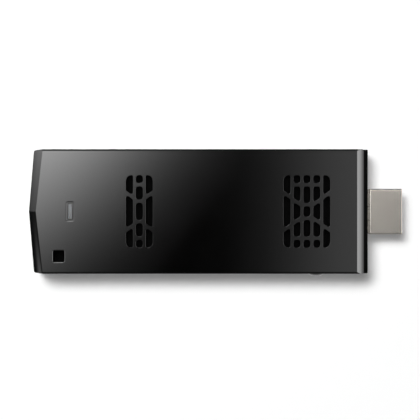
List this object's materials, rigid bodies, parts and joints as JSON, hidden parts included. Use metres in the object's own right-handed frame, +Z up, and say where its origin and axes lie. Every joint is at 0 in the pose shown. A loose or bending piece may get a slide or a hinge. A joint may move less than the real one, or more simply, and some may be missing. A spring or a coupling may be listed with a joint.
{
  "type": "stick computer",
  "caption": "Flat black stick computer with a video plug at one end, slotted vents on top, a status window, side sockets, a card slot, a press button and a lanyard eye.",
  "frame": {"origin": "centre of the flat base, midway along the casing without the plug", "axes": "+X along the casing towards the plug, +Z up from the base to the vented face"},
  "size_m": [0.1139, 0.0387, 0.0125],
  "materials": {
    "casing_plastic": "fine moulded satin texture",
    "end_plate_plastic": "etched matt",
    "screen_fabric": "woven black dust screen",
    "light_pipe_plastic": "milky and smooth",
    "plug_steel": "satin nickel plate",
    "socket_steel": "satin nickel plate",
    "insulator_plastic": "moulded",
    "contact_gold": "gold plate",
    "plunger_plastic": "moulded",
    "board_epoxy": "solder mask",
    "lamp_resin": "smooth",
    "antenna_ceramic": "fired",
    "black_aluminium": "black anodised",
    "thermal_rubber": "soft pad",
    "fan_plastic": "moulded",
    "magnet_iron": "bonded",
    "shaft_steel": "ground",
    "sleeve_brass": "sintered",
    "coil_copper": "enamelled winding",
    "lead_rubber": "flat insulated lead",
    "chip_resin": "moulded resin",
    "capacitor_ceramic": "fired",
    "coil_iron": "pressed powder",
    "screw_steel": "zinc plate"
  },
  "bodies": {
    "casing": {"top_cover": "casing_plastic", "bottom_cover": "casing_plastic", "plug_end_plate": "end_plate_plastic", "inlet_screen": "screen_fabric", "outlet_screen": "screen_fabric", "light_pipe": "light_pipe_plastic", "plug_shell": "plug_steel", "host_socket_shell": "socket_steel", "power_socket_shell": "socket_steel", "card_slot_cover": "socket_steel", "radio_module": "socket_steel", "clock_crystal": "socket_steel", "plug_core": "insulator_plastic", "host_socket_tongue": "insulator_plastic", "power_socket_tongue": "insulator_plastic", "card_slot_frame": "insulator_plastic", "switch_body": "insulator_plastic", "plug_contacts": "contact_gold", "host_socket_contacts": "contact_gold", "power_socket_contacts": "contact_gold", "card_slot_contacts": "contact_gold", "fan_socket": "plunger_plastic", "main_board": "board_epoxy", "status_lamp": "lamp_resin", "antenna_1": "antenna_ceramic", "antenna_2": "antenna_ceramic", "heat_spreader": "black_aluminium", "thermal_pad": "thermal_rubber", "fan_housing": "fan_plastic", "fan_lid": "fan_plastic", "fan_sleeve": "sleeve_brass", "fan_coil": "coil_copper", "fan_lead": "lead_rubber", "processor": "chip_resin", "storage_chip": "chip_resin", "power_controller": "chip_resin", "firmware_chip": "chip_resin", "memory_chip_1": "chip_resin", "memory_chip_2": "chip_resin", "memory_chip_3": "chip_resin", "memory_chip_4": "chip_resin", "capacitors": "capacitor_ceramic", "power_coil_1": "coil_iron", "power_coil_2": "coil_iron", "power_coil_3": "coil_iron", "board_screw_1": "screw_steel", "board_screw_2": "screw_steel", "board_screw_3": "screw_steel", "board_screw_4": "screw_steel", "fan_screw_1": "screw_steel", "fan_screw_2": "screw_steel"},
    "power_button": {"power_button": "casing_plastic"},
    "switch_plunger": {"switch_plunger": "plunger_plastic"},
    "fan_rotor": {"fan_rotor": "fan_plastic", "fan_magnet": "magnet_iron", "fan_shaft": "shaft_steel"}
  },
  "joints": [
    {"name": "power_press", "type": "slide", "parent": "casing", "child": "power_button", "axis": [0, 1, 0], "range_m": [0, 0.0004], "stiffness_N_per_m": 600, "springref_m": -0.0005},
    {"name": "plunger_press", "type": "slide", "parent": "casing", "child": "switch_plunger", "axis": [0, 1, 0], "range_m": [0, 0.0004]},
    {"name": "fan_spin", "type": "hinge", "parent": "casing", "child": "fan_rotor", "pos_m": [0.02765, 0.0025, 0.009], "axis": [0, 0, 1], "continuous": true}
  ],
  "couplings": [
    {"joint": "plunger_press", "follows": "power_press", "ratio": 1}
  ]
}
